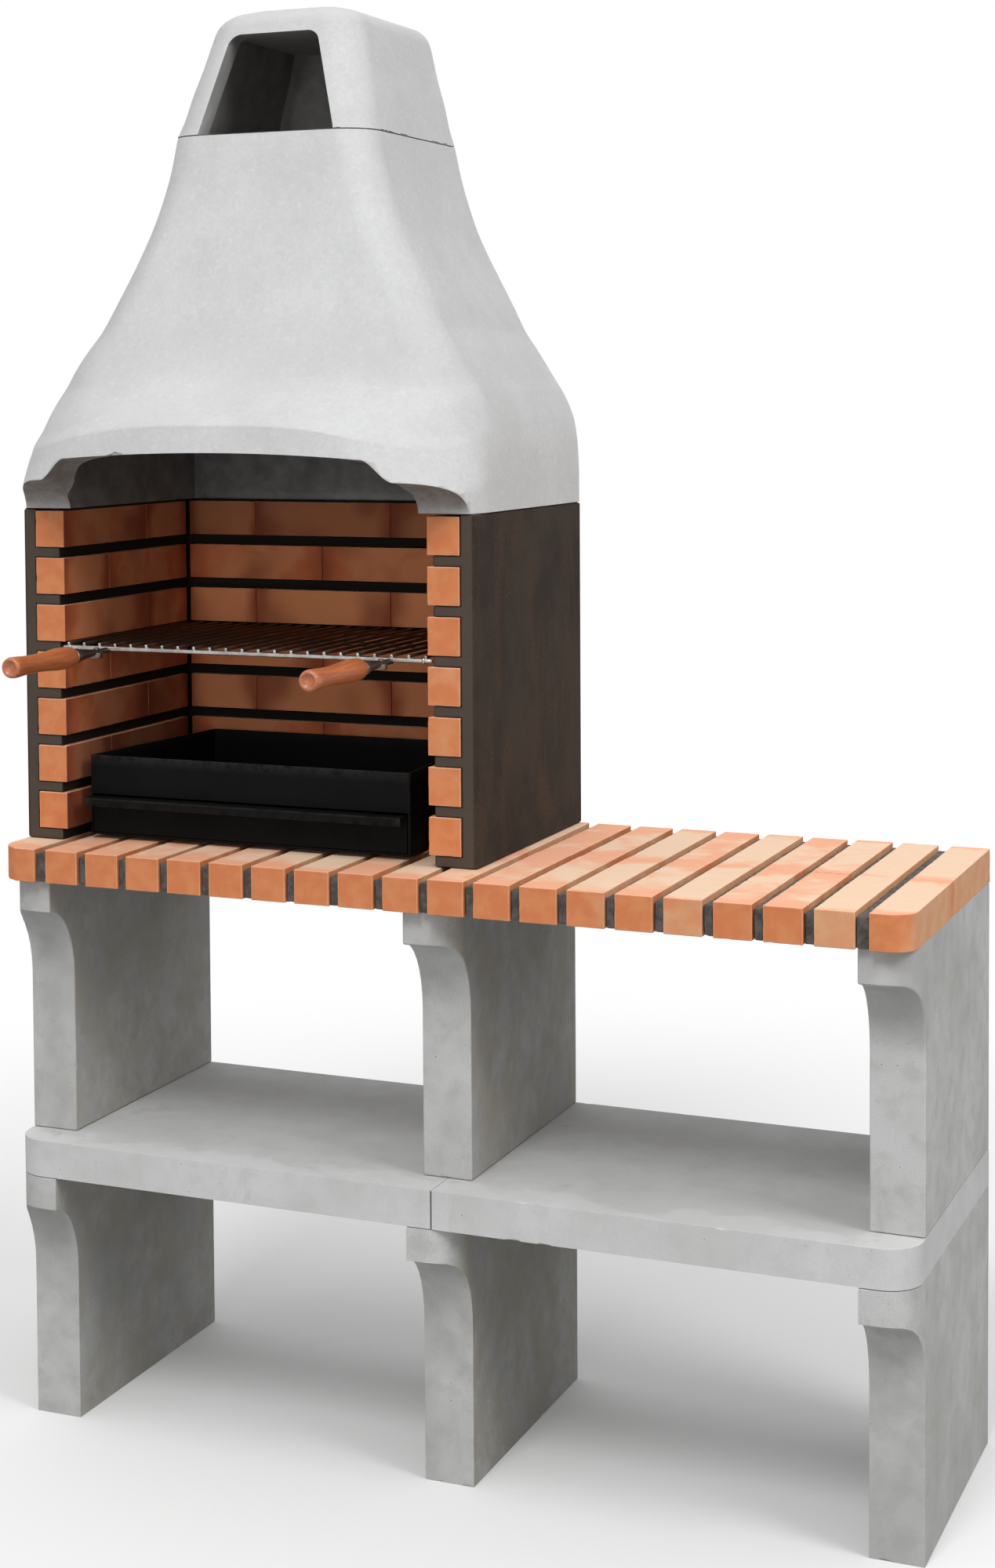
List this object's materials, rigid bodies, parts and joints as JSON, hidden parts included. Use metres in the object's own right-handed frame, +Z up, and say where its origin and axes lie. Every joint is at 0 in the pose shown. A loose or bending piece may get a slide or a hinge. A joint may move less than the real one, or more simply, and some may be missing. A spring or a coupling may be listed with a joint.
{
  "type": "outdoor masonry barbecue",
  "caption": "Free-standing masonry barbecue with a brick worktop, a brick-lined fire chamber under a bell hood, a sliding wire grill and an ember pan.",
  "frame": {"origin": "on the ground under the middle leg, below the middle of the worktop", "axes": "+Z up, +Y to the back, +X to the worktop's free end"},
  "size_m": [1.2625, 0.6171, 1.9513],
  "materials": {
    "brick": "fired clay, salmon to buff, fine sandy surface",
    "mortar": "dark grey raked mortar",
    "concrete": "light grey cast concrete, mottled, with small pits",
    "refractory": "dark brown-grey refractory concrete, sandy",
    "render_coat": "smooth off-white cast concrete",
    "black_sheet": "matt black painted sheet steel",
    "chromed_wire": "chromed steel wire, a little dulled",
    "varnished_wood": "orange-brown varnished turned wood"
  },
  "bodies": {
    "masonry": {"leg_lower_left": "concrete", "leg_lower_middle": "concrete", "leg_lower_right": "concrete", "leg_upper_left": "concrete", "leg_upper_middle": "concrete", "leg_upper_right": "concrete", "shelf_left": "concrete", "shelf_right": "concrete", "worktop_mortar": "mortar", "worktop_row_01": "brick", "worktop_row_02": "brick", "worktop_row_03": "brick", "worktop_row_04": "brick", "worktop_row_05": "brick", "worktop_row_06": "brick", "worktop_row_07": "brick", "worktop_row_08": "brick", "worktop_row_09": "brick", "worktop_row_10": "brick", "worktop_row_11": "brick", "worktop_row_12": "brick", "worktop_row_13": "brick", "worktop_row_14": "brick", "worktop_row_15": "brick", "worktop_row_16": "brick", "worktop_row_17": "brick", "worktop_row_18": "brick", "worktop_row_19": "brick", "worktop_row_20": "brick", "panel_left": "refractory", "panel_back": "refractory", "panel_right": "refractory", "course_left_1": "brick", "course_left_2": "brick", "course_left_3": "brick", "course_left_4": "brick", "course_left_5": "brick", "course_left_6": "brick", "course_left_7": "brick", "course_back_1": "brick", "course_back_2": "brick", "course_back_3": "brick", "course_back_4": "brick", "course_back_5": "brick", "course_back_6": "brick", "course_back_7": "brick", "course_right_1": "brick", "course_right_2": "brick", "course_right_3": "brick", "course_right_4": "brick", "course_right_5": "brick", "course_right_6": "brick", "course_right_7": "brick", "hood": "render_coat", "chimney_cap": "render_coat"},
    "grill": {"grill": "chromed_wire", "grip_left": "varnished_wood", "grip_right": "varnished_wood"},
    "ember_pan": {"ember_pan": "black_sheet"},
    "ash_drawer": {"ash_drawer": "black_sheet"}
  },
  "joints": [
    {"name": "grill_slide", "type": "slide", "parent": "masonry", "child": "grill", "axis": [0, -1, 0], "range_m": [0, 0.42]},
    {"name": "ember_pan_slide", "type": "slide", "parent": "masonry", "child": "ember_pan", "axis": [0, -1, 0], "range_m": [0, 0.36]},
    {"name": "ash_drawer_slide", "type": "slide", "parent": "ember_pan", "child": "ash_drawer", "axis": [0, -1, 0], "range_m": [0, 0.3]}
  ]
}
